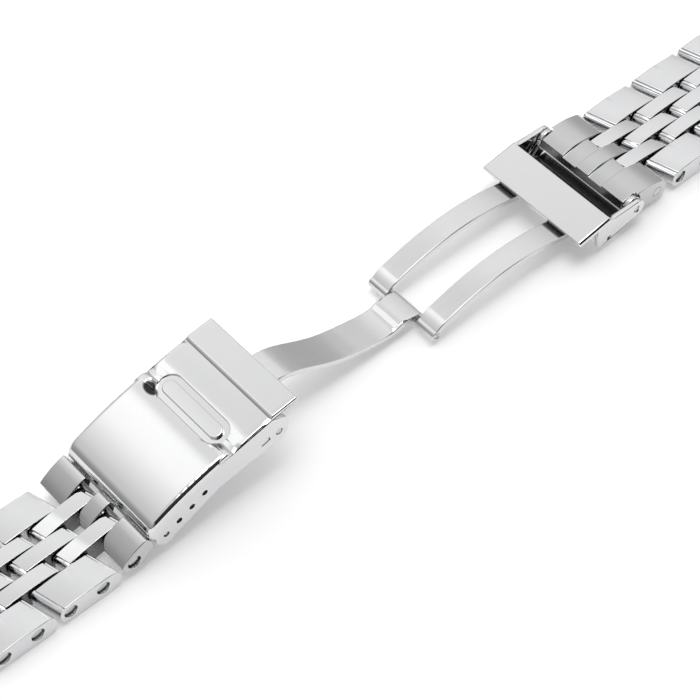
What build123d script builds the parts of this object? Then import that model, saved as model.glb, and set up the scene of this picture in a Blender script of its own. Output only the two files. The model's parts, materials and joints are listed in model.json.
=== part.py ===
from build123d import *
import math
import os

os.makedirs("parts", exist_ok=True)

# A polished link bracelet, laid open on a table with its folding clasp open.
# X runs along the strap, Y across it (the near side is -Y), Z up from the table.
# Across the strap every pivot is parallel to Y, so a place is given as (x, z).

# Strap
strap_width = 22.0
wide_width = 6.1
narrow_width = 2.95
column_gap = 0.2
link_pitch = 6.4
link_height = 4.4
link_end_radius = 2.8
link_crown = 0.3
link_step = 0.22
link_shelf = 0.45
link_edge = 0.3
link_slant_angle = 15.0
link_end_gap = 0.25
row_count = 3

# Pins and spring bars
pin_radius = 0.6
pin_head_radius = 0.95
pin_head_height = 0.45
counterbore_radius = 1.25
counterbore_depth = 0.9
pin_clearance = 0.02
pin_set_back = 0.05
bar_radius = 0.9
bar_bore_radius = 0.64
bar_bore_depth = 3.4
bar_lip = 0.3
bar_lip_radius = 0.5
tip_radius = 0.45
tip_collar_radius = 0.61
tip_collar_length = 1.5
tip_reach = 1.1
tip_free_length = 1.05
tip_neck_radius = 0.28
tip_lead = 0.15

# Clasp, where its three pivots lie and how its pieces lean on the table
centre_pivot = (65.3, 1.6)
middle_blade_length = 38.6
middle_blade_angle = -13.64
fork_length = 45.1
fork_angle = 3.56
cover_angle = 14.0
clasp_wall = 1.1
clasp_pin_radius = 0.65
hinge_clearance = 0.04

# Cover
cover_reach = 28.0
cover_rise = 6.1
cover_skin = 0.9
cover_edge = 0.3
web_thickness = 0.8
web_front_drop = 1.2
tail_room = 15.0
web_end = 1.2
cover_overhang = 0.15
rim_radius = 0.9
ear_radius = 2.2
lip_reach = 5.0
lip_thickness = 0.8
lip_step = 0.35
ridge_run = 0.8
adjust_spacing = 3.0
adjust_count = 4
adjust_radius = 0.55
adjust_set_back = 3.4
adjust_drop = 0.3
adjust_rise = 0.6
pill_length = 14.2
pill_width = 2.7
pill_height = 0.6
pill_sink = 0.12
pill_rim = 1.1
pill_edge = 0.2
pill_shift = 0.55
tab_length = 1.7
tab_height = 0.35
tab_foot = 1.05
tab_depth = 0.2
tab_place = (-2.9, 0.15)

# Blades
middle_blade_width = 6.8
middle_blade_thickness = 1.25
middle_blade_peak = 2.8
knuckle_wall = 1.2
tip_knuckle_wall = 0.75
arm_inside = 3.9
arm_outside = 8.4
arm_thickness = 1.35
arm_start_height = 1.5
arm_fall_angle = 18.0
arm_fall_run = 12.84
arm_foot_drop = 2.46
arm_foot_set_back = 2.7
arm_slot_set_back = 4.5
arm_tip_radius = 1.15
arm_facet_run = 1.1
arm_facet_angle = 30.0
fork_ear_thickness = 1.0
fork_ear_radius = 1.9
rib_length = 14.0
rib_width = 1.5
rib_height = 0.45
rib_sink = 0.22
rib_set_back = 4.2
rib_shift = -1.0
rib_edge = 0.3

# Flip lock
lock_overhang = 1.5
lock_wall = 1.0
lock_side_gap = 0.1
lock_plate_thickness = 0.95
lock_plate_start = -14.3
lock_plate_end = -6.5
lock_plate_rise = 3.95
lock_angle = 9.0
lock_wall_start = -9.8
lock_end_radius = 1.95
lock_foot = 2.06
lock_edge = 0.25
lock_side_radius = 0.6
lock_pin_set_back = 0.2
dimple_radius = 0.5
dimple_depth = 0.3
dimple_place = (-7.2, -1.3)

# End links at the clasp, and at the watch case
cover_end_reach = 6.8
cover_end_angle = 10.5
cover_end_radius = 2.45
tongue_half_width = 9.6
tongue_radius = 1.75
tongue_root_share = 0.25
cheek_gap = 0.35
finger_round_run = 1.5
finger_round_width = 3.0
finger_bulge_shares = (0.25, 0.33)
fork_end_reach = 7.1
fork_end_angle = -12.6
fork_end_top = 2.35
end_side_gap = 0.1
fork_end_front = 1.9
fork_end_sole = 1.7
fork_end_step = 0.35
fork_end_crest_share = 0.33
lug_reach = 6.4
lug_radius = 2.2
lug_end_share = 0.875

overrun = 5.0


def along(start, reach, angle):
    # the place that lies a reach away from start, at an angle above the table
    turn = math.radians(angle)
    return (start[0] + reach * math.cos(turn), start[1] + reach * math.sin(turn))


def across(place, angle, y):
    # a drawing plane seen from the near side, with its X along the piece
    turn = math.radians(angle)
    return Plane(
        origin=(place[0], y, place[1]),
        x_dir=(math.cos(turn), 0, math.sin(turn)),
        z_dir=(0, -1, 0),
    )


def scaled(shares, run, rise):
    # outline points from shares of a run and a rise
    return [(a * run, b * rise) for a, b in shares]


# Places of the pivots, from the cover's tail to the last link of each half
half_width = strap_width / 2
lug_end_radius = link_end_radius * lug_end_share
pin_height = link_height / 2
wide_inside = half_width - wide_width
narrow_outside = wide_inside - column_gap
narrow_inside = narrow_outside - narrow_width
centre_half_width = narrow_inside - column_gap
pin_bore_radius = pin_radius + pin_clearance
head_face = counterbore_depth - half_width - pin_head_height
slant_lean = math.tan(math.radians(link_slant_angle))
lock_half_width = half_width + lock_overhang
fork_ear_outside = lock_half_width - lock_wall - lock_side_gap
fork_ear_inside = fork_ear_outside - fork_ear_thickness
fork_end_half_width = fork_ear_inside - end_side_gap
swing_radius = link_end_radius + narrow_width / 2 * slant_lean + link_end_gap

cover_pivot = along(centre_pivot, -middle_blade_length, middle_blade_angle)
lock_pivot = along(centre_pivot, fork_length, fork_angle)


def on_cover(spot):
    # a place given in the cover's own frame, along and above its middle plate
    ahead = along(cover_pivot, spot[0], cover_angle)
    return along(ahead, spot[1], cover_angle + 90)


def strap_pins(first, way):
    # the first link hangs from the end link's pin down to the table, the rest lie flat
    drop = first[1] - pin_height
    run = math.sqrt(link_pitch**2 - drop**2)
    places = [first, (first[0] + way * run, pin_height)]
    while len(places) < 2 * row_count + 2:
        places.append((places[-1][0] + way * link_pitch, pin_height))
    return places


adjust_first = (adjust_set_back - cover_reach, -adjust_drop)
adjust_pivot = on_cover(adjust_first)
cover_side_pins = strap_pins(along(adjust_pivot, -cover_end_reach, cover_end_angle), -1)
fork_side_pins = strap_pins(along(lock_pivot, fork_end_reach, fork_end_angle), 1)
cover_lug_bar = (cover_side_pins[-1][0] - lug_reach, pin_height)
fork_lug_bar = (fork_side_pins[-1][0] + lug_reach, pin_height)

# The frame's origin is below the middle of the whole strap.
middle = (cover_lug_bar[0] + fork_lug_bar[0]) / 2


def slant(angle):
    # the way a link's ends run across the strap, nearer the near side further along +X
    turn = math.radians(angle)
    return (slant_lean * math.cos(turn), -1, slant_lean * math.sin(turn))


def save(piece, name):
    # every piece is written where it lies in the whole bracelet
    placed = piece.part.moved(Location((-middle, 0, 0)))
    placed.label = name
    export_step(placed, f"parts/{name}.step")
    print(name, round(placed.volume, 2), len(placed.solids()))


def bore(place, angle, spots, radius, near, far):
    # round holes right across a piece, between two Y values
    with BuildSketch(across(place, angle, far)) as rings:
        with Locations(*spots):
            Circle(radius)
    extrude(rings.sketch, amount=far - near, mode=Mode.SUBTRACT)


def link_outline(plane):
    # side view of a link: a crowned top between two barrels that turn on their pins
    low = -pin_height
    corner = math.sqrt(link_end_radius**2 - pin_height**2)
    shelf_height = pin_height - link_crown - link_step
    shelf_corner = math.sqrt(link_end_radius**2 - shelf_height**2)
    top_start = link_shelf - shelf_corner
    top_end = link_pitch - top_start
    with BuildSketch(plane) as face:
        with BuildLine():
            Polyline(
                (-shelf_corner, shelf_height),
                (top_start, shelf_height),
                (top_start, pin_height - link_crown),
            )
            ThreePointArc(
                (top_start, pin_height - link_crown),
                (link_pitch / 2, pin_height),
                (top_end, pin_height - link_crown),
            )
            Polyline(
                (top_end, pin_height - link_crown),
                (top_end, shelf_height),
                (link_pitch + shelf_corner, shelf_height),
            )
            ThreePointArc(
                (link_pitch + shelf_corner, shelf_height),
                (link_pitch + link_end_radius, 0),
                (link_pitch + corner, low),
            )
            Line((link_pitch + corner, low), (-corner, low))
            ThreePointArc((-corner, low), (-link_end_radius, 0), (-shelf_corner, shelf_height))
        make_face()
    return face.sketch


def link_body(place, angle, near, far):
    # one plate of a column, its ends slanted across its own width
    middle_y = (near + far) / 2
    lean = math.cos(math.radians(link_slant_angle))
    outline = link_outline(across(place, angle, middle_y))
    extrude(outline, amount=(far - near) / 2 / lean, dir=slant(angle), both=True)


def lean_of(left, right):
    return math.degrees(math.atan2(right[1] - left[1], right[0] - left[0]))


def wide_link(name, left, right, near, far, drilled):
    # an outer link, its near face counterbored where the pins' heads sit
    angle = lean_of(left, right)
    spots = ((0, 0), (link_pitch, 0))
    with BuildPart() as link:
        link_body(left, angle, near, far)
        crowns = link.edges().filter_by(GeomType.CIRCLE).sort_by(SortBy.RADIUS)[-2:]
        chamfer(crowns, length=link_edge)
        bore(left, angle, spots, pin_bore_radius, near - overrun, far + overrun)
        if drilled:
            bore(left, angle, spots, counterbore_radius, near - overrun, near + counterbore_depth)
    save(link, name)


def centre_link(name, left, right):
    angle = lean_of(left, right)
    with BuildPart() as link:
        link_body(left, angle, -centre_half_width, centre_half_width)
        bore(left, angle, ((0, 0), (link_pitch, 0)), pin_bore_radius, -half_width, half_width)
    save(link, name)


def narrow_pair(name, left, right):
    # the two narrow links that bridge from one row of three to the next
    angle = lean_of(left, right)
    with BuildPart() as links:
        link_body(left, angle, -narrow_outside, -narrow_inside)
        link_body(left, angle, narrow_inside, narrow_outside)
        bore(left, angle, ((0, 0), (link_pitch, 0)), pin_bore_radius, -half_width, half_width)
    save(links, name)


def strap_pin(name, places, face, head_radius):
    # pins pushed in from the near side, each with a low round head
    head_seat = face + pin_head_height
    with BuildPart() as pins:
        for place in places:
            with BuildSketch(across(place, 0, half_width - pin_set_back)):
                Circle(pin_radius)
            extrude(amount=half_width - pin_set_back - head_seat)
            with BuildSketch(across(place, 0, head_seat)):
                Circle(head_radius)
            extrude(amount=pin_head_height)
    save(pins, name)


def spring_bar(name, place, tube_half, tip_end):
    # a tube with a turned-in lip at each end, and a sprung tip held behind each lip
    lip_face = tube_half - bar_lip
    with BuildPart() as tube:
        with BuildSketch(across(place, 0, tube_half)):
            Circle(bar_radius)
        extrude(amount=2 * tube_half)
        bore(place, 0, ((0, 0),), bar_bore_radius, lip_face - bar_bore_depth, lip_face)
        bore(place, 0, ((0, 0),), bar_bore_radius, -lip_face, bar_bore_depth - lip_face)
        bore(place, 0, ((0, 0),), bar_lip_radius, lip_face - bar_lip, tube_half + overrun)
        bore(place, 0, ((0, 0),), bar_lip_radius, -tube_half - overrun, bar_lip - lip_face)
    save(tube, f"{name}_tube")
    for side, way in (("near", -1), ("far", 1)):
        collar_face = lip_face - pin_set_back
        with BuildPart() as tip:
            with BuildSketch(across(place, 0, way * collar_face)):
                Circle(tip_collar_radius)
            extrude(amount=way * tip_collar_length)
            with BuildSketch(across(place, 0, way * (tip_end - tip_free_length))):
                Circle(tip_neck_radius)
            extrude(amount=way * (tip_end - tip_free_length - collar_face))
            with BuildSketch(across(place, 0, way * tip_end)):
                Circle(tip_radius)
            extrude(amount=way * tip_free_length)
            outer = tip.edges().sort_by(Axis.Y)[-1 if way > 0 else 0]
            chamfer(outer, length=tip_lead)
        save(tip, f"{name}_tip_{side}")


def finger_slots(place, reach, angle):
    # room for the narrow links' round ends between an end link's three fingers
    for near, far in ((-wide_inside, -centre_half_width), (centre_half_width, wide_inside)):
        with BuildSketch(across(place, angle, far)) as room:
            with Locations((reach, 0)):
                Circle(swing_radius)
        extrude(room.sketch, amount=far - near, mode=Mode.SUBTRACT)


def round_finger(place, angle, far):
    # a finger's far corner at its tip is round as seen from above
    side = across(place, angle, 0)
    above = Plane(origin=side.origin, x_dir=side.x_dir, z_dir=side.y_dir)
    tip_x = -cover_end_radius
    start = (tip_x, far - finger_round_width)
    bulge_run, bulge_width = finger_bulge_shares
    bulge = (tip_x + finger_round_run * bulge_run, far - finger_round_width * bulge_width)
    finish = (tip_x + finger_round_run, far)
    with BuildSketch(above) as corner:
        with BuildLine():
            ThreePointArc(start, bulge, finish)
            Polyline(finish, (tip_x - overrun, far), (tip_x - overrun, start[1]), start)
        make_face()
    extrude(corner.sketch, amount=overrun, both=True, mode=Mode.SUBTRACT)


# Cover, its top pressed in one piece: a dome, a seam, a middle plate and a lip
dome_shares = ((-0.975, 0.49), (-0.948, 0.68), (-0.9, 0.805), (-0.63, 0.98), (-0.372, 1.0))
seam_shares = ((-0.33, 0.955), (-0.307, 0.845), (-0.16, 0.885), (-0.018, 0.84))
wall_top_shares = ((-0.945, 0.13), (-0.66, 0.557), (-0.314, 0.77), (-0.011, 0.72))
lip_shares = ((0.0, 0.25), (0.33, -0.25), (0.0, -0.75))
arch_share = 0.8
dome_tail, tail_bend, dome_front, dome_middle, dome_crest = scaled(dome_shares, cover_reach, cover_rise)
seam_bend, seam_foot, plate_middle, ridge_foot = scaled(seam_shares, cover_reach, cover_rise)
wall_tail, wall_rise, wall_seam, wall_ridge = scaled(wall_top_shares, cover_reach, cover_rise)
plate_arch = (plate_middle[0], cover_rise * arch_share)
web_start = tail_room - cover_reach
wall_face = half_width - cover_overhang


def rim_at(piece, spot, y):
    # the edge that passes a spot of the cover's outline on one of its sides
    place = across(cover_pivot, cover_angle, y).from_local_coords((*spot, 0))
    return piece.edges().sort_by_distance(place)[0]


def cover_top():
    lip_start = (ridge_foot[0] + ridge_run, ridge_foot[1] + lip_step)
    lip_middle = lip_start[1] - lip_thickness
    lip_top, lip_nose, lip_low = (
        (lip_reach + a * lip_thickness, lip_middle + b * lip_thickness) for a, b in lip_shares
    )
    with BuildPart() as cover:
        with BuildSketch(across(cover_pivot, cover_angle, half_width)):
            with BuildLine():
                ThreePointArc(dome_tail, tail_bend, dome_front)
                ThreePointArc(dome_front, dome_middle, dome_crest)
                ThreePointArc(dome_crest, seam_bend, seam_foot)
                ThreePointArc(seam_foot, plate_middle, ridge_foot)
                TangentArc(lip_start, ridge_foot, tangent=(-1, 0))
                Line(lip_start, lip_top)
                ThreePointArc(lip_top, lip_nose, lip_low)
                Line(lip_low, wall_ridge)
                ThreePointArc(wall_ridge, plate_arch, wall_seam)
                ThreePointArc(wall_seam, wall_rise, wall_tail)
                Line(wall_tail, dome_tail)
            make_face()
        extrude(amount=strap_width)
        # the dome rolls down to the sides
        sides = (-half_width, half_width)
        rims = [rim_at(cover, spot, y) for spot in (tail_bend, dome_middle) for y in sides]
        fillet(rims, radius=rim_radius)

        # the dome is hollow over the end link's tongue
        room_top = cover_rise - cover_skin
        with BuildSketch(across(cover_pivot, cover_angle, half_width - clasp_wall)):
            with BuildLine():
                Polyline(
                    (dome_tail[0] - overrun, -cover_rise),
                    (dome_tail[0] - overrun, dome_tail[1] - cover_skin),
                    (dome_tail[0], dome_tail[1] - cover_skin),
                    (dome_front[0], dome_front[1] - cover_skin),
                    (dome_middle[0], dome_middle[1] - cover_skin),
                    (web_start, room_top - pin_set_back),
                    (web_start, -cover_rise),
                    close=True,
                )
            make_face()
        extrude(amount=strap_width - 2 * clasp_wall, mode=Mode.SUBTRACT)

        # an oval boss stands in a scoop against the seam
        boss_face = seam_foot[1] - pill_sink
        boss_plane = across(cover_pivot, cover_angle, 0)
        boss_origin = boss_plane.from_local_coords((seam_foot[0] + pill_shift, boss_face, 0))
        boss = Plane(origin=boss_origin, x_dir=(0, 1, 0), z_dir=boss_plane.y_dir)
        with BuildSketch(boss):
            SlotOverall(pill_length + 2 * pill_rim, pill_width + 2 * pill_rim)
        extrude(amount=cover_rise, mode=Mode.SUBTRACT)
        with BuildSketch(boss):
            SlotOverall(pill_length, pill_width)
        extrude(amount=pill_height)
        crown = cover.faces(Select.LAST).sort_by(Axis(boss.origin, boss.z_dir))[-1]
        fillet(crown.edges(), radius=pill_edge)
    save(cover, "cover_top")


def side_channel():
    # an inverted channel: a web below the middle plate and a side wall at each edge
    foot = -ear_radius
    sole_shares = ((-0.957, -0.14), (-0.914, -0.46), (-0.47, -0.1))
    tail_corner, tail_foot, sole_bend = scaled(sole_shares, cover_reach, cover_rise)
    with BuildPart() as channel:
        with BuildSketch(across(cover_pivot, cover_angle, wall_face)):
            with BuildLine():
                ThreePointArc(wall_tail, wall_rise, wall_seam)
                Polyline(wall_seam, wall_ridge, (ear_radius, ear_radius))
                ThreePointArc((ear_radius, ear_radius), (ear_radius, 0), (0, foot))
                Polyline((0, foot), sole_bend, tail_foot, tail_corner, wall_tail)
            make_face()
        extrude(amount=2 * wall_face)
        wall_ends = channel.edges().filter_by(Axis.Y).group_by(Axis.X)[0]
        fillet(wall_ends, radius=cover_edge)
        with BuildSketch(across(cover_pivot, cover_angle, half_width - clasp_wall)):
            with BuildLine():
                Polyline(
                    (web_start, wall_seam[1] + overrun),
                    (web_start, wall_seam[1] - web_front_drop),
                    (wall_seam[0], wall_seam[1] - web_thickness),
                    (web_end, wall_ridge[1] - web_thickness),
                    (web_end, wall_ridge[1] + overrun),
                    (cover_reach, wall_ridge[1] + overrun),
                    (cover_reach, -cover_reach),
                    (-cover_reach - overrun, -cover_reach),
                    (-cover_reach - overrun, wall_seam[1] + overrun),
                    close=True,
                )
            make_face()
        extrude(amount=strap_width - 2 * clasp_wall, mode=Mode.SUBTRACT)
        rise_angle = math.degrees(math.atan2(adjust_rise, adjust_spacing))
        spots = [along(adjust_first, n * adjust_spacing, rise_angle) for n in range(adjust_count)]
        bore(cover_pivot, cover_angle, spots, adjust_radius, -half_width - overrun, half_width + overrun)
        pin_hole = clasp_pin_radius + pin_clearance
        bore(cover_pivot, cover_angle, ((0, 0),), pin_hole, -half_width - overrun, half_width + overrun)
        # a small stamped mark of an L shape beside the hinge
        with BuildSketch(across(cover_pivot, cover_angle, tab_depth - wall_face)):
            with Locations(tab_place):
                Rectangle(tab_length, tab_height)
            with Locations((tab_place[0] + tab_length / 2, tab_place[1] + tab_height)):
                Rectangle(tab_height, tab_foot)
        extrude(amount=overrun, mode=Mode.SUBTRACT)
    save(channel, "side_channel")


def plain_pin(name, place, radius, reach):
    with BuildPart() as pin:
        with BuildSketch(across(place, 0, reach)):
            Circle(radius)
        extrude(amount=2 * reach)
        ends = pin.edges().filter_by(GeomType.CIRCLE)
        chamfer(ends, length=tip_lead)
    save(pin, name)


def middle_blade():
    # a curved strip that is rolled round a pin at each end
    top_shares = ((0.2, 1.0), (0.38, 0.43), (0.53, -0.07), (0.7, -0.2), (0.86, -0.04))
    roll = clasp_pin_radius + pin_clearance + knuckle_wall
    tip_roll = pin_radius + pin_clearance + tip_knuckle_wall
    rise, fall, dip, low, climb = scaled(top_shares, middle_blade_length, middle_blade_peak)
    blade_tip = (middle_blade_length, tip_roll)
    with BuildPart() as blade:
        plane = across(cover_pivot, middle_blade_angle, middle_blade_width / 2)
        with BuildSketch(plane):
            with BuildLine():
                Spline(
                    (0, roll),
                    rise,
                    fall,
                    dip,
                    low,
                    climb,
                    blade_tip,
                    tangents=((1, 0), (1, 0)),
                )
                Line(blade_tip, (blade_tip[0], blade_tip[1] - middle_blade_thickness))
                Spline(
                    (blade_tip[0], blade_tip[1] - middle_blade_thickness),
                    (climb[0], climb[1] - middle_blade_thickness),
                    (low[0], low[1] - middle_blade_thickness),
                    (dip[0], dip[1] - middle_blade_thickness),
                    (fall[0], fall[1] - middle_blade_thickness),
                    (rise[0], rise[1] - middle_blade_thickness),
                    (0, roll - middle_blade_thickness),
                    tangents=((-1, 0), (-1, 0)),
                )
                Line((0, roll - middle_blade_thickness), (0, roll))
            make_face()
            Circle(roll)
            with Locations((middle_blade_length, 0)):
                Circle(tip_roll)
        extrude(amount=middle_blade_width)
        big, small = clasp_pin_radius + hinge_clearance, pin_radius + hinge_clearance
        bore(cover_pivot, middle_blade_angle, ((0, 0),), big, -half_width, half_width)
        bore(centre_pivot, middle_blade_angle, ((0, 0),), small, -half_width, half_width)
    save(blade, "middle_blade")


def arm_curve():
    # the arms rise in one arc from the centre pin and fall in a straight run to the clasp end
    fall = math.radians(arm_fall_angle)
    end = (fork_length - arm_foot_set_back, -arm_foot_drop)
    bend = (end[0] - arm_fall_run, end[1] + arm_fall_run * math.tan(fall))
    inward = (-math.sin(fall), -math.cos(fall))
    chord = (-bend[0], arm_start_height - bend[1])
    radius = (chord[0] ** 2 + chord[1] ** 2) / (2 * (chord[0] * inward[0] + chord[1] * inward[1]))
    centre = (bend[0] + radius * inward[0], bend[1] + radius * inward[1])
    return end, bend, centre, radius


def on_arc(centre, radius, x):
    return (x, centre[1] + math.sqrt(radius**2 - (x - centre[0]) ** 2))


def fork_blade():
    # two curved arms with a slot between them, a cross plate and two ears
    fall = math.radians(arm_fall_angle)
    drop = arm_thickness / math.cos(fall)
    end, bend, centre, radius = arm_curve()
    inner = radius - arm_thickness
    facet_top = on_arc(centre, radius, arm_facet_run)
    facet_tip = along((0, 0), arm_tip_radius, 180 - arm_facet_angle)
    inner_start = on_arc(centre, inner, 0)
    inner_bend = along(bend, -arm_thickness, 90 - arm_fall_angle)
    with BuildPart() as fork:
        with BuildSketch(across(centre_pivot, fork_angle, arm_outside)):
            with BuildLine():
                Polyline(inner_start, facet_tip, facet_top)
                ThreePointArc(facet_top, on_arc(centre, radius, centre[0]), bend)
                Polyline(bend, end, (end[0], end[1] - drop), inner_bend)
                ThreePointArc(inner_bend, on_arc(centre, inner, centre[0]), inner_start)
            make_face()
            Circle(arm_tip_radius)
        extrude(amount=2 * arm_outside)
        slot_end = fork_length - arm_slot_set_back
        with BuildSketch(across(centre_pivot, fork_angle, arm_inside)):
            with Locations((slot_end / 2 - overrun, 0)):
                Rectangle(slot_end + 2 * overrun, fork_length)
        extrude(amount=2 * arm_inside, mode=Mode.SUBTRACT)
        bore(centre_pivot, fork_angle, ((0, 0),), pin_radius + pin_clearance, -half_width, half_width)

        # the cross plate widens behind the arms and carries the ears
        foot = (end[0] - arm_thickness, end[1] + arm_thickness * math.tan(fall))
        with BuildSketch(across(centre_pivot, fork_angle, fork_ear_outside)):
            with BuildLine():
                Polyline(foot, end, (end[0], end[1] - drop), (foot[0], foot[1] - drop), close=True)
            make_face()
        extrude(amount=2 * fork_ear_outside)
        for far in (fork_ear_outside, -fork_ear_inside):
            with BuildSketch(across(centre_pivot, fork_angle, far)):
                with BuildLine():
                    Polyline(
                        foot,
                        (fork_length - fork_ear_radius, 0),
                        (fork_length, -fork_ear_radius),
                        (end[0], end[1] - drop),
                        (foot[0], foot[1] - drop),
                        close=True,
                    )
                make_face()
                with Locations((fork_length, 0)):
                    Circle(fork_ear_radius)
            extrude(amount=fork_ear_outside - fork_ear_inside)
        bore(lock_pivot, 0, ((0, 0),), pin_bore_radius, -half_width - overrun, half_width + overrun)

        # an oval rib stiffens the cross plate
        rib_plane = across(centre_pivot, fork_angle, 0)
        rib_x = fork_length - rib_set_back
        rib_z = bend[1] - (rib_x - bend[0]) * math.tan(fall)
        rib_face = Plane(
            origin=rib_plane.from_local_coords((rib_x, rib_z - rib_sink, -rib_shift)),
            x_dir=(0, 1, 0),
            z_dir=across(centre_pivot, fork_angle - arm_fall_angle, 0).y_dir,
        )
        with BuildSketch(rib_face):
            SlotOverall(rib_length, rib_width)
        extrude(amount=rib_height + rib_sink)
        rim = fork.faces(Select.LAST).sort_by(Axis(rib_face.origin, rib_face.z_dir))[-1]
        fillet(rim.edges(), radius=rib_edge)
    save(fork, "fork_blade")


def flip_lock():
    # a plate that bridges the clasp, on two walls that swing round the fork's ears
    plate_low = lock_plate_rise - lock_plate_thickness
    with BuildPart() as lock:
        with BuildSketch(across(lock_pivot, lock_angle, lock_half_width)):
            with BuildLine():
                Polyline(
                    (lock_plate_start, plate_low),
                    (lock_plate_start, lock_plate_rise),
                    (lock_plate_end, lock_plate_rise),
                    (lock_plate_end, plate_low),
                    close=True,
                )
            make_face()
        extrude(amount=2 * lock_half_width)
        plate = across(lock_pivot, lock_angle, 0)
        sides = lock.edges().filter_by(Axis(plate.origin, plate.x_dir)).sort_by(Axis.Z)[-2:]
        fillet(sides, radius=lock_side_radius)
        top = lock.faces().sort_by(Axis(plate.origin, plate.y_dir))[-1]
        fillet(top.edges().filter_by(Axis.Y), radius=lock_edge)
        for far in (lock_half_width, lock_wall - lock_half_width):
            with BuildSketch(across(lock_pivot, lock_angle, far)):
                with BuildLine():
                    Polyline(
                        (lock_wall_start, plate_low + lock_plate_thickness / 2),
                        (lock_plate_end, plate_low + lock_plate_thickness / 2),
                        (lock_plate_end + lock_plate_thickness, plate_low),
                        (0, lock_end_radius),
                        (0, -lock_end_radius),
                        (lock_wall_start, -lock_foot),
                        close=True,
                    )
                make_face()
                Circle(lock_end_radius)
            extrude(amount=lock_wall)
        outside = lock_half_width + overrun
        bore(lock_pivot, 0, ((0, 0),), pin_radius + hinge_clearance, -outside, outside)
        dimple_floor = dimple_depth - lock_half_width
        bore(lock_pivot, lock_angle, (dimple_place,), dimple_radius, -outside, dimple_floor)
    save(lock, "flip_lock")


def cover_end_link():
    # three fingers outside the cover, and a tongue that holds the adjusting bar inside it
    pin = cover_side_pins[0]
    tip_shares = ((-0.338, 0.47), (0.062, 1.02), (0.495, 1.3), (-0.29, -0.35))
    back_shares = ((0.59, 0.75), (0.62, 0.0), (0.25, -0.52), (0.0, -1.0))
    tip, slope, shoulder, chin = scaled(tip_shares, cover_end_reach, cover_end_radius)
    neck, back, sole, heel = scaled(back_shares, cover_end_reach, cover_end_radius)
    tongue_root = cover_end_reach * tongue_root_share
    with BuildPart() as link:
        for near, far in (
            (-half_width, -wide_inside),
            (-centre_half_width, centre_half_width),
            (wide_inside, half_width),
        ):
            with BuildSketch(across(pin, cover_end_angle, far)):
                with BuildLine():
                    ThreePointArc(tip, slope, shoulder)
                    Polyline(shoulder, neck, back, sole, heel)
                    ThreePointArc(heel, chin, tip)
                make_face()
            extrude(amount=far - near)
        with BuildSketch(across(pin, cover_end_angle, tongue_half_width)):
            with BuildLine():
                Polyline(
                    (tongue_root, tongue_radius),
                    (cover_end_reach, tongue_radius),
                )
                ThreePointArc(
                    (cover_end_reach, tongue_radius),
                    (cover_end_reach + tongue_radius, 0),
                    (cover_end_reach, -tongue_radius),
                )
                Polyline(
                    (cover_end_reach, -tongue_radius),
                    (tongue_root, -tongue_radius),
                    (tongue_root, tongue_radius),
                )
            make_face()
        extrude(amount=2 * tongue_half_width)
        finger_slots(pin, 0, cover_end_angle)
        for far in (-wide_inside, centre_half_width):
            round_finger(pin, cover_end_angle, far)
        bore(pin, 0, ((0, 0),), pin_bore_radius, -half_width - overrun, half_width + overrun)
        bore(pin, 0, ((0, 0),), counterbore_radius, -half_width - overrun, counterbore_depth - half_width)
        bar_bore = bar_radius + pin_clearance
        bore(adjust_pivot, 0, ((0, 0),), bar_bore, -half_width, half_width)
    save(link, "cover_end_link")


def fork_end_link():
    # three fingers and a block that turns between the fork's ears
    pin = fork_side_pins[0]
    front_low = (-fork_end_front, -fork_end_sole / 2)
    front_high = (-fork_end_front, fork_end_sole / 2)
    tip_top = (fork_end_reach, lug_end_radius)
    tip_low = (fork_end_reach, -lug_end_radius)
    crest_x = fork_end_reach * fork_end_crest_share
    narrow_columns = ((-wide_inside, -centre_half_width), (centre_half_width, wide_inside))
    with BuildPart() as link:
        with BuildSketch(across(lock_pivot, fork_end_angle, half_width)):
            with BuildLine():
                Line(front_low, front_high)
                ThreePointArc(front_high, (crest_x, fork_end_top), tip_top)
                ThreePointArc(tip_top, (fork_end_reach + lug_end_radius, 0), tip_low)
                Polyline(tip_low, (0, -fork_end_sole), front_low)
            make_face()
        extrude(amount=strap_width)
        for near, far in narrow_columns:
            with BuildSketch(across(lock_pivot, fork_end_angle, far)):
                with BuildLine():
                    ThreePointArc(
                        (front_high[0], front_high[1] - fork_end_step),
                        (crest_x, fork_end_top - fork_end_step),
                        (tip_top[0], tip_top[1] - fork_end_step),
                    )
                    Polyline(
                        (tip_top[0], tip_top[1] - fork_end_step),
                        (tip_top[0], tip_top[1] + overrun),
                        (front_high[0] - overrun, front_high[1] + overrun),
                        (front_high[0] - overrun, front_high[1] - fork_end_step),
                        (front_high[0], front_high[1] - fork_end_step),
                    )
                make_face()
            extrude(amount=far - near, mode=Mode.SUBTRACT)
        for far in (half_width + overrun, -fork_end_half_width):
            with BuildSketch(across(lock_pivot, fork_end_angle, far)):
                Circle(fork_ear_radius + cheek_gap)
            extrude(amount=half_width + overrun - fork_end_half_width, mode=Mode.SUBTRACT)
        finger_slots(lock_pivot, fork_end_reach, fork_end_angle)
        bore(lock_pivot, 0, ((0, 0),), pin_radius + hinge_clearance, -half_width, half_width)
        bore(pin, 0, ((0, 0),), pin_bore_radius, -half_width - overrun, half_width + overrun)
        head_room = pin_head_radius + pin_clearance
        bore(pin, 0, ((0, 0),), head_room, -half_width - overrun, pin_head_height - half_width)
    save(link, "fork_end_link")


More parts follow.
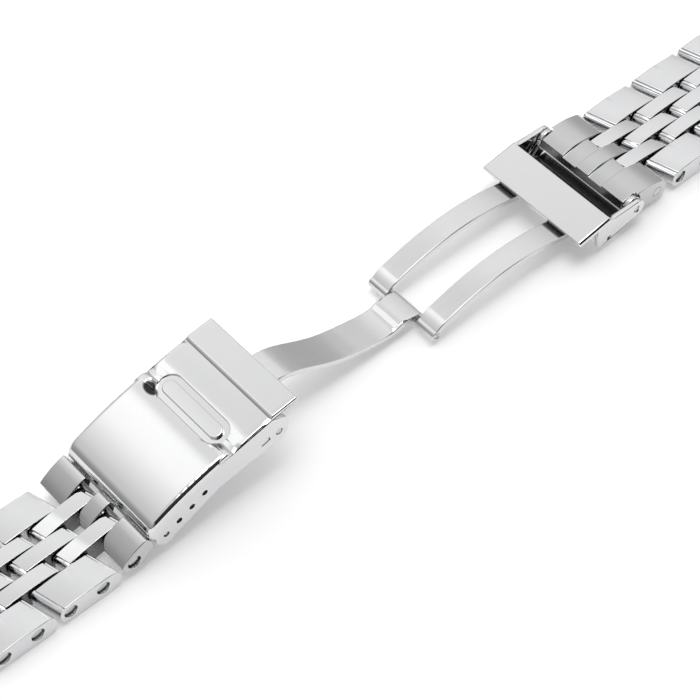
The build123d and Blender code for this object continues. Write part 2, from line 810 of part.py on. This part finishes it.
def lug_link(name, pin, bar):
    # the last link, with a bar bore at the watch case
    way = 1 if bar[0] > pin[0] else -1
    with BuildPart() as link:
        with BuildSketch(across(pin, 0, half_width)):
            with BuildLine():
                Line((0, lug_end_radius), (way * lug_reach, lug_radius))
                ThreePointArc(
                    (way * lug_reach, lug_radius),
                    (way * (lug_reach + lug_radius), 0),
                    (way * lug_reach, -lug_radius),
                )
                Line((way * lug_reach, -lug_radius), (0, -pin_height))
                Line((0, -pin_height), (-way * link_end_radius / 2, -pin_height))
                ThreePointArc(
                    (-way * link_end_radius / 2, -pin_height),
                    (-way * link_end_radius, 0),
                    (0, lug_end_radius),
                )
            make_face()
        extrude(amount=strap_width)
        finger_slots(pin, 0, 0)
        bore(pin, 0, ((0, 0),), pin_bore_radius, -half_width - overrun, half_width + overrun)
        bore(pin, 0, ((0, 0),), counterbore_radius, -half_width - overrun, counterbore_depth - half_width)
        bar_bore = bar_radius + pin_clearance
        bore(bar, 0, ((0, 0),), bar_bore, -half_width - overrun, half_width + overrun)
    save(link, name)


def strap_half(side, pins, bar):
    # pairs and rows alternate away from the clasp, and the lug link ends them
    for n in range(row_count + 1):
        left, right = sorted(pins[2 * n:2 * n + 2])
        narrow_pair(f"{side}_pair_{n + 1}", left, right)
    for n in range(row_count):
        left, right = sorted(pins[2 * n + 1:2 * n + 3])
        wide_link(f"{side}_row_{n + 1}_near", left, right, -half_width, -wide_inside, True)
        centre_link(f"{side}_row_{n + 1}_centre", left, right)
        wide_link(f"{side}_row_{n + 1}_far", left, right, wide_inside, half_width, False)
        strap_pin(f"{side}_row_{n + 1}_pins", (left, right), head_face, pin_head_radius)
    lug_link(f"{side}_lug_link", pins[-1], bar)
    strap_pin(f"{side}_lug_pin", (pins[-1],), head_face, pin_head_radius)
    spring_bar(f"{side}_lug_bar", bar, half_width - link_edge, half_width + tip_reach)


cover_top()
side_channel()
plain_pin("cover_hinge_pin", cover_pivot, clasp_pin_radius, wall_face - pin_set_back)
middle_blade()
plain_pin("centre_pin", centre_pivot, pin_radius, arm_outside - pin_set_back)
fork_blade()
flip_lock()
plain_pin("flip_lock_pin", lock_pivot, pin_radius, lock_half_width - lock_pin_set_back)
cover_end_link()
spring_bar("adjust_bar", adjust_pivot, tongue_half_width - bar_lip, half_width - bar_lip)
fork_end_link()
strap_pin("cover_end_pin", cover_side_pins[:1], head_face, pin_head_radius)
strap_pin("fork_end_pin", fork_side_pins[:1], -half_width, pin_head_radius)
strap_half("cover_side", cover_side_pins, cover_lug_bar)
strap_half("fork_side", fork_side_pins, fork_lug_bar)
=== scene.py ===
import bpy
import bmesh
import json
import math
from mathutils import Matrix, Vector

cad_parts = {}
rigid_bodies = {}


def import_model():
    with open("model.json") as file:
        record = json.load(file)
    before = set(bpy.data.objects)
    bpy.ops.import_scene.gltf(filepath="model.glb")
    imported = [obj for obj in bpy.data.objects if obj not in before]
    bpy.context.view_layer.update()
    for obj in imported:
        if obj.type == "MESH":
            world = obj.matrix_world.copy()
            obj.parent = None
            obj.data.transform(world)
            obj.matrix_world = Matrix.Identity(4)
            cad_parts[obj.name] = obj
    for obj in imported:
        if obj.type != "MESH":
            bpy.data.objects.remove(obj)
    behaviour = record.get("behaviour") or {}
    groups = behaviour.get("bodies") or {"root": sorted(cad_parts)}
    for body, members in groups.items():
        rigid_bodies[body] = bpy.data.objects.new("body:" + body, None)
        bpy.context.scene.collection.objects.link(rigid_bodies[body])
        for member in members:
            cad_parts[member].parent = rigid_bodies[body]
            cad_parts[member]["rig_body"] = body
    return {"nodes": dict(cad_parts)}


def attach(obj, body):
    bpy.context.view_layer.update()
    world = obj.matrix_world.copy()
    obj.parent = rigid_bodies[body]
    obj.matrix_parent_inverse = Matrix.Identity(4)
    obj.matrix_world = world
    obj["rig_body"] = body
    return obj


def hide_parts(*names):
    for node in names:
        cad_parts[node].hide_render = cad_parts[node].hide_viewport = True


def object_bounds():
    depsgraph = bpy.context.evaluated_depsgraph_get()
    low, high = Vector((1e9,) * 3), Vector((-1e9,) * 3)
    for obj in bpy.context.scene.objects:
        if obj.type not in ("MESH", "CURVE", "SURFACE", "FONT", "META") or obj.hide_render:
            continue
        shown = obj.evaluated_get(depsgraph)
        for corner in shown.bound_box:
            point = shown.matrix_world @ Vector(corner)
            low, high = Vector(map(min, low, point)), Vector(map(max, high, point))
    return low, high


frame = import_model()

nodes = frame["nodes"]
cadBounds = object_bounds()
print("frame loaded:", len(nodes), "nodes")

mm = 0.001
scene = bpy.context.scene
collection = scene.collection
white = (1, 1, 1, 1)


def placed(name, bm):
    # an object that holds the bmesh, linked to the scene
    mesh = bpy.data.meshes.new(name)
    bm.to_mesh(mesh)
    bm.free()
    piece = bpy.data.objects.new(name, mesh)
    collection.objects.link(piece)
    return piece


# shader tools

class Wire:
    # a node socket whose values can be used in sums
    def __init__(self, finish, socket):
        self.finish = finish
        self.socket = socket

    def math(self, operation, *others):
        return self.finish.add("ShaderNodeMath", {"operation": operation}, [self, *others]).out()

    def __add__(self, other):
        return self.math("ADD", other)

    def __radd__(self, other):
        return self.math("ADD", other)

    def __sub__(self, other):
        return self.math("SUBTRACT", other)

    def __rsub__(self, other):
        return self.finish.add("ShaderNodeMath", {"operation": "SUBTRACT"}, [other, self]).out()

    def __mul__(self, other):
        return self.math("MULTIPLY", other)

    def __rmul__(self, other):
        return self.math("MULTIPLY", other)


class Step:
    # one node, with its outputs by name or number
    def __init__(self, finish, node):
        self.finish = finish
        self.node = node

    def out(self, name=0):
        return Wire(self.finish, self.node.outputs[name])


class Finish:
    # the node tree of a material or of the world, built one node at a time
    def __init__(self, holder):
        holder.use_nodes = True
        self.tree = holder.node_tree
        self.tree.nodes.clear()

    def add(self, kind, settings=None, inputs=None):
        node = self.tree.nodes.new(kind)
        for name, value in (settings or {}).items():
            if name == "stops":
                ramp = node.color_ramp
                while len(ramp.elements) < len(value):
                    ramp.elements.new(0.5)  # its real place and tone come next
                for element, (place, tone) in zip(ramp.elements, value):
                    element.position = place
                    element.color = (tone, tone, tone, 1) if isinstance(tone, float) else (*tone, 1)
            else:
                setattr(node, name, value)
        pairs = enumerate(inputs) if isinstance(inputs, list) else (inputs or {}).items()
        for name, value in pairs:
            if isinstance(value, Wire):
                self.tree.links.new(value.socket, node.inputs[name])
            else:
                node.inputs[name].default_value = value
        return Step(self, node)


# steel finishes

# worn is the share of the colour that the most worn spots keep
# spread is how far the wear changes the roughness
steelLook = {
    "link": {"colour": (0.7, 0.702, 0.71), "worn": 0.97, "rough": 0.06, "spread": 0.02, "bump": 0.006},
    "endLink": {"colour": (0.55, 0.551, 0.557), "worn": 0.97, "rough": 0.08, "spread": 0.02, "bump": 0.006},
    "cover": {"colour": (0.71, 0.711, 0.717), "worn": 0.98, "rough": 0.06, "spread": 0.015, "bump": 0.004},
    "blade": {"colour": (0.69, 0.69, 0.697), "worn": 0.96, "rough": 0.1, "spread": 0.04, "bump": 0.01},
    "pin": {"colour": (0.6, 0.6, 0.61), "worn": 0.85, "rough": 0.2, "spread": 0.08, "bump": 0.03},
    # the darkest steel below is a darker copy, painted shade for faces between parts and in hollows
    "inside": {"colour": (0.2, 0.2, 0.204), "worn": 0.85, "rough": 0.25, "spread": 0.1, "bump": 0.02},
}

buffing = {
    "lineScale": (60.0, 1400.0, 1400.0),  # long along the strap, fine across it
    "lineDetail": 3.0,
    "hazeScale": 220.0,
    "hazeDetail": 4.0,
    "hazeShare": 0.5,  # of the wear, the rest comes from the lines
    "wornAt": 0.3,
    "cleanAt": 0.7,
    "average": 0.5,  # of the wear, at which the roughness is the finish's own
    "depth": 0.02 * mm,
}

# painted shade for the dark hollow at the seam's far end
pitShade = {
    "place": (-41.1 * mm, 7.7 * mm, 14.1 * mm),
    "size": (1.15 * mm, 1.9 * mm, 2.0 * mm),
    "fade": [(0.75, 0.05), (1.0, 1.0)],
}


def paintPitShade(finish, place, tone):
    # painted shade: the pressed hollow at the seam's far end, darkened in the cover's colour
    away = finish.add("ShaderNodeVectorMath", {"operation": "SUBTRACT"}, [place, pitShade["place"]]).out()
    stretched = finish.add("ShaderNodeVectorMath", {"operation": "DIVIDE"}, [away, pitShade["size"]]).out()
    reach = finish.add("ShaderNodeVectorMath", {"operation": "LENGTH"}, [stretched]).out("Value")
    shadow = finish.add("ShaderNodeValToRGB", {"stops": pitShade["fade"]}, {"Fac": reach}).out("Color")
    return finish.add("ShaderNodeVectorMath", {"operation": "MULTIPLY"}, [tone, shadow]).out()


def steel(name):
    # polished steel: faint haze, buffing lines along the strap and fine wear
    look = steelLook[name]
    material = bpy.data.materials.new(f"{name}Steel")
    finish = Finish(material)
    place = finish.add("ShaderNodeTexCoord").out("Object")
    stretched = finish.add("ShaderNodeMapping", {}, {"Vector": place, "Scale": buffing["lineScale"]}).out()
    lines = finish.add("ShaderNodeTexNoise", {}, {
        "Vector": stretched, "Scale": 1.0, "Detail": buffing["lineDetail"],
    }).out("Fac")
    haze = finish.add("ShaderNodeTexNoise", {}, {
        "Vector": place, "Scale": buffing["hazeScale"], "Detail": buffing["hazeDetail"],
    }).out("Fac")
    wear = haze * buffing["hazeShare"] + lines * (1 - buffing["hazeShare"])
    worn = tuple(c * look["worn"] for c in look["colour"])
    tones = [(buffing["wornAt"], worn), (buffing["cleanAt"], look["colour"])]
    tone = finish.add("ShaderNodeValToRGB", {"stops": tones}, {"Fac": wear}).out("Color")
    # the cover's colour gets the painted shade at the seam's far end
    if name == "cover":
        tone = paintPitShade(finish, place, tone)
    roughness = look["rough"] + (wear - buffing["average"]) * look["spread"]
    grain = finish.add("ShaderNodeBump", {}, {
        "Strength": look["bump"], "Distance": buffing["depth"], "Height": lines,
    }).out()
    shader = finish.add("ShaderNodeBsdfPrincipled", {}, {
        "Base Color": tone, "Roughness": roughness, "Normal": grain, "Metallic": 1.0,
    }).out()
    finish.add("ShaderNodeOutputMaterial", {}, {"Surface": shader})
    return material


steels = {name: steel(name) for name in steelLook}
print("finishes made:", ", ".join(steels))


# polished pieces

polish = {
    "mergeWithin": 0.01 * mm,
    "mergeCorners": {"flip_lock": 0.045 * mm},
    "flatAngle": math.radians(0.4),
    "sharpAngle": math.radians(45),  # sharper edges are softened
    "creaseAngle": math.radians(30),  # the shading breaks at sharper edges that aren't softened
    "tightAngle": math.radians(115),  # sharper edges on a trimmed piece have no room for a bevel
    "segments": 3,
    "flatWeight": 80,
    "share": 0.4,  # of a neighbouring edge's length, which a bevel may take
    "least": 0.25,  # of the full width, below which a bevel is left out
    "slant": 0.85,  # neighbours closer to parallel than this don't count
    "edge": {
        "link": 0.14 * mm, "endLink": 0.14 * mm, "cover": 0.32 * mm, "blade": 0.2 * mm, "pin": 0.06 * mm,
    },
    "ownEdge": {"middle_blade": 0.24 * mm, "side_channel": 0.06 * mm, "cover_end_link": 0.18 * mm},
    "pairEdge": 0.1 * mm,
    "cuts": {"cover_top": (-9.9 * mm, 9.9 * mm)},  # inside the cover's two long sides
    "trimmed": ("cover_top", "flip_lock", "cover_end_link"),  # their bevels are trimmed to the room they have
}

shaded = {
    "plateFrom": 42 * mm,  # along the strap
    "earsFrom": 9.8 * mm,  # from the middle, to either side
    "boreFacet": 0.16 * mm * mm,  # the side walls' other faces are larger
    "facesClasp": -0.6,  # a normal's X, at most
    "facesDown": -0.5,  # a normal's Z, at most
    "facesSide": 0.7,  # a normal's Y, at least
    "notSide": 0.5,  # a normal's Y, at most
}


def softness(edge, width, trimmed):
    # the part of a bevel's full width that an edge takes, from 0 to 1; a trimmed piece's edge takes what fits
    if len(edge.link_faces) != 2 or edge.calc_face_angle() < polish["sharpAngle"]:
        return 0.0
    if not trimmed:
        return 1.0
    if edge.calc_face_angle() > polish["tightAngle"] or not edge.is_convex:
        return 0.0
    along = (edge.verts[1].co - edge.verts[0].co).normalized()
    room = width / polish["share"]
    for vert in edge.verts:
        for other in vert.link_edges:
            inward = other.calc_face_angle(0) > polish["creaseAngle"] and not other.is_convex
            if inward or other.calc_face_angle(0) > polish["tightAngle"]:
                return 0.0
            if other is edge:
                continue
            way = (other.other_vert(vert).co - vert.co).normalized()
            if abs(way.dot(along)) < polish["slant"]:
                room = min(room, other.calc_length())
    size = room * polish["share"] / width
    return size if size > polish["least"] else 0.0


def inShade(nodeName, face):
    # faces inside the clasp's nest, between the links and in the bores, which get the darker steel as painted
    # shade
    place = face.calc_center_median()
    if nodeName == "fork_end_link":
        return face.normal.x < shaded["facesClasp"]
    if nodeName == "fork_blade":
        onPlate = place.x > shaded["plateFrom"] and abs(place.y) < shaded["earsFrom"]
        return onPlate and abs(face.normal.y) < shaded["notSide"]
    if nodeName == "flip_lock":
        return face.normal.z < shaded["facesDown"]
    if "pair" in nodeName or nodeName.endswith("_centre"):
        return abs(face.normal.y) > shaded["facesSide"]
    if nodeName == "side_channel":
        return abs(face.normal.y) < shaded["notSide"] and face.calc_area() < shaded["boreFacet"]
    return False


def makePolished(nodeName, finishName):
    # a cleaned copy of a CAD piece, its sharp edges softened as by a buffing wheel
    source = nodes[nodeName]
    bm = bmesh.new()
    bm.from_mesh(source.data)
    reach = polish["mergeCorners"].get(nodeName, polish["mergeWithin"])
    bmesh.ops.remove_doubles(bm, verts=bm.verts, dist=reach)
    bmesh.ops.dissolve_limit(bm, angle_limit=polish["flatAngle"], verts=bm.verts, edges=bm.edges)
    bmesh.ops.recalc_face_normals(bm, faces=bm.faces)
    for place in polish["cuts"].get(nodeName, ()):
        # a cut along the piece keeps the bevels' uneven ends out of the wide faces
        parts = bm.verts[:] + bm.edges[:] + bm.faces[:]
        bmesh.ops.bisect_plane(
            bm, geom=parts, dist=polish["mergeWithin"], plane_co=(0, place, 0), plane_no=(0, 1, 0),
        )
    for face in bm.faces:
        face.smooth = True
        face.material_index = 1 if inShade(nodeName, face) else 0
    weight = bm.edges.layers.float.new("bevel_weight_edge")
    width = polish["ownEdge"].get(nodeName, polish["edge"][finishName])
    if "pair" in nodeName:
        width = polish["pairEdge"]
    for edge in bm.edges:
        edge[weight] = softness(edge, width, nodeName in polish["trimmed"])
        edge.smooth = edge[weight] > 0 or edge.calc_face_angle(0) < polish["creaseAngle"]
    piece = placed(f"{nodeName}_polished", bm)
    piece.data.materials.append(steels[finishName])
    # the second material is the darker steel, painted shade
    if any(polygon.material_index for polygon in piece.data.polygons):
        piece.data.materials.append(steels["inside"])
    soften = piece.modifiers.new("soften", "BEVEL")
    soften.width = width
    soften.segments = polish["segments"]
    soften.limit_method = "WEIGHT"
    soften.use_clamp_overlap = False
    flatten = piece.modifiers.new("flatten", "WEIGHTED_NORMAL")
    flatten.weight = polish["flatWeight"]
    flatten.keep_sharp = True
    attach(piece, source["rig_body"])
    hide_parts(nodeName)


def finishFor(nodeName):
    if "pin" in nodeName or "tip" in nodeName or "tube" in nodeName:
        return "pin"
    if nodeName in ("cover_top", "flip_lock"):
        return "cover"
    if "blade" in nodeName:
        return "blade"
    return "endLink" if "end_link" in nodeName else "link"


for nodeName in sorted(nodes):
    makePolished(nodeName, finishFor(nodeName))
print("pieces polished")


# a dark lip behind the fork's cross plate, under the end link: painted shade in the gap between them

shadeLip = {
    "from": 50.3 * mm,
    "to": 52.6 * mm,
    "low": 0.5 * mm,
    "high": 1.55 * mm,
    "halfWidth": 10.35 * mm,
    "edge": 0.2 * mm,
    "segments": 2,
}


def makeShadeLip():
    # a dark sheet of painted shade that closes the view through the clasp between the cross plate and the end
    # link
    bm = bmesh.new()
    bmesh.ops.create_cube(bm, size=1)
    size = (shadeLip["to"] - shadeLip["from"], 2 * shadeLip["halfWidth"], shadeLip["high"] - shadeLip["low"])
    middle = ((shadeLip["from"] + shadeLip["to"]) / 2, 0, (shadeLip["low"] + shadeLip["high"]) / 2)
    bmesh.ops.scale(bm, verts=bm.verts, vec=size)
    bmesh.ops.translate(bm, verts=bm.verts, vec=middle)
    bmesh.ops.bevel(
        bm, geom=bm.edges[:], offset=shadeLip["edge"], offset_type="OFFSET", segments=shadeLip["segments"],
        profile=0.5, affect="EDGES", material=-1,
    )
    piece = placed("fork_shade_lip", bm)
    # its darker steel is painted shade
    piece.data.materials.append(steels["inside"])
    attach(piece, nodes["fork_blade"]["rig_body"])


makeShadeLip()
print("lip made")


# floor, light and camera

stage = {"floorSize": 4.0, "gap": 0.02 * mm, "floorTone": 0.88, "seenGlow": 0.26, "mirroredGlow": 0.27}


def makeFloor():
    # a white table just under the lowest piece; its glow shows to the camera and in the steel
    bm = bmesh.new()
    bmesh.ops.create_grid(bm, x_segments=1, y_segments=1, size=stage["floorSize"] / 2)
    bmesh.ops.translate(bm, verts=bm.verts, vec=(0, 0, cadBounds[0][2] - stage["gap"]))
    floor = placed("table", bm)
    material = bpy.data.materials.new("tableWhite")
    finish = Finish(material)
    tone = stage["floorTone"]
    paint = finish.add("ShaderNodeBsdfDiffuse", {}, {"Color": (tone, tone, tone, 1)}).out()
    path = finish.add("ShaderNodeLightPath")
    seen = path.out("Is Camera Ray") * stage["seenGlow"] + path.out("Is Glossy Ray") * stage["mirroredGlow"]
    glow = finish.add("ShaderNodeEmission", {}, {"Color": white, "Strength": seen}).out()
    both = finish.add("ShaderNodeAddShader", {}, [paint, glow]).out()
    finish.add("ShaderNodeOutputMaterial", {}, {"Surface": both})
    floor.data.materials.append(material)


# pairs of a direction's part along one axis and the brightness there
tent = {
    # along Z
    "ceiling": [
        (-0.1, 0.3), (0.0, 0.52), (0.1, 0.57), (0.3, 0.64), (0.42, 0.74), (0.5, 0.88), (0.58, 1.0),
        (0.7, 1.07), (0.8, 1.1), (0.85, 1.05), (0.88, 0.98), (0.92, 0.88), (0.95, 2.4), (1.0, 4.5),
    ],
    # along X
    "across": [(-1.0, 0.55), (-0.85, 0.6), (-0.6, 0.66), (-0.44, 0.72), (-0.36, 0.86), (-0.26, 1.0)],
    # along X, how much of the front's darkness shows
    "frontSide": [(-0.75, 0.0), (-0.45, 1.0), (0.5, 1.0), (0.64, 0.0)],
    # along Y
    "front": [(-1.0, 0.04), (-0.28, 0.05), (-0.2, 0.4), (-0.12, 1.35), (0.0, 1.35), (0.15, 1.15), (0.3, 1.0)],
    "ends": (-1, 1),
}


def fade(finish, value, stops, ends):
    # a smooth change of brightness with a value that runs between two ends
    low, high = ends
    ramp = [((place - low) / (high - low), float(tone)) for place, tone in stops]
    along = (value - low) * (1 / (high - low))
    return finish.add("ShaderNodeValToRGB", {"stops": ramp}, {"Fac": along}).out("Color")


def makeRoom():
    # a light tent: a bright ceiling that falls off to a grey horizon, darker by the cover's end and in front
    world = bpy.data.worlds.new("lightTent")
    scene.world = world
    finish = Finish(world)
    way = finish.add("ShaderNodeTexCoord").out("Generated")
    split = finish.add("ShaderNodeSeparateXYZ", {}, {"Vector": way})
    ceiling = fade(finish, split.out("Z"), tent["ceiling"], tent["ends"])
    across = fade(finish, split.out("X"), tent["across"], tent["ends"])
    front = fade(finish, split.out("Y"), tent["front"], tent["ends"])
    frontSide = fade(finish, split.out("X"), tent["frontSide"], tent["ends"])
    front = 1 - frontSide * (1 - front)
    strength = ceiling * across * front
    light = finish.add("ShaderNodeBackground", {}, {"Color": white, "Strength": strength}).out()
    finish.add("ShaderNodeOutputWorld", {}, {"Surface": light})


# along and aside are pairs of a place on the card and the brightness there
softCard = {
    "place": (-0.235, 0.34, 0.6),
    "size": (0.4, 0.3),
    "along": [
        (-0.195, 0.0), (-0.12, 0.08), (-0.077, 0.12), (-0.04, 0.19),
        (0.033, 0.3), (0.1, 0.37), (0.122, 0.3), (0.145, 0.0),
    ],
    "alongEnds": (-0.2, 0.2),
    "aside": [(-0.14, 0.0), (-0.07, 1.0), (0.07, 1.0), (0.14, 0.0)],
    "asideEnds": (-0.15, 0.15),
}


def makeSoftCard():
    # a soft-edged panel of light above the far side, which the cover's dome and the middle blade mirror
    bm = bmesh.new()
    bmesh.ops.create_grid(bm, x_segments=1, y_segments=1, size=0.5)  # a square with sides of 1
    bmesh.ops.scale(bm, verts=bm.verts, vec=(*softCard["size"], 1))
    card = placed("softCard", bm)
    card.location = softCard["place"]
    card.visible_camera = False
    card.visible_shadow = False
    material = bpy.data.materials.new("softCardGlow")
    finish = Finish(material)
    place = finish.add("ShaderNodeTexCoord").out("Object")
    split = finish.add("ShaderNodeSeparateXYZ", {}, {"Vector": place})
    along = fade(finish, split.out("X"), softCard["along"], softCard["alongEnds"])
    aside = fade(finish, split.out("Y"), softCard["aside"], softCard["asideEnds"])
    glow = finish.add("ShaderNodeEmission", {}, {"Color": white, "Strength": along * aside}).out()
    clear = finish.add("ShaderNodeBsdfTransparent").out()
    both = finish.add("ShaderNodeAddShader", {}, [glow, clear]).out()
    finish.add("ShaderNodeOutputMaterial", {}, {"Surface": both})
    card.data.materials.append(material)


# fitted to the photograph, whose width in pixels is framePixels
camera = {
    "place": (-156.17 * mm, -171.75 * mm, 296.80 * mm),
    "target": (-4.43 * mm, 0.29 * mm, 0),
    "focalPixels": 2169.1,
    "framePixels": 700,
    "sensor": 36,
    "nearest": 10 * mm,
}


def makeCamera():
    data = bpy.data.cameras.new("camera")
    data.sensor_fit = "HORIZONTAL"
    data.sensor_width = camera["sensor"]
    data.lens = data.sensor_width * camera["focalPixels"] / camera["framePixels"]
    data.clip_start = camera["nearest"]
    view = bpy.data.objects.new("camera", data)
    collection.objects.link(view)
    view.location = camera["place"]
    aim = Vector(camera["target"]) - Vector(camera["place"])
    view.rotation_euler = aim.to_track_quat("-Z", "Y").to_euler()
    scene.camera = view


makeFloor()
makeRoom()
makeSoftCard()
makeCamera()
scene.view_settings.view_transform = "Standard"
print("floor, light and camera set")
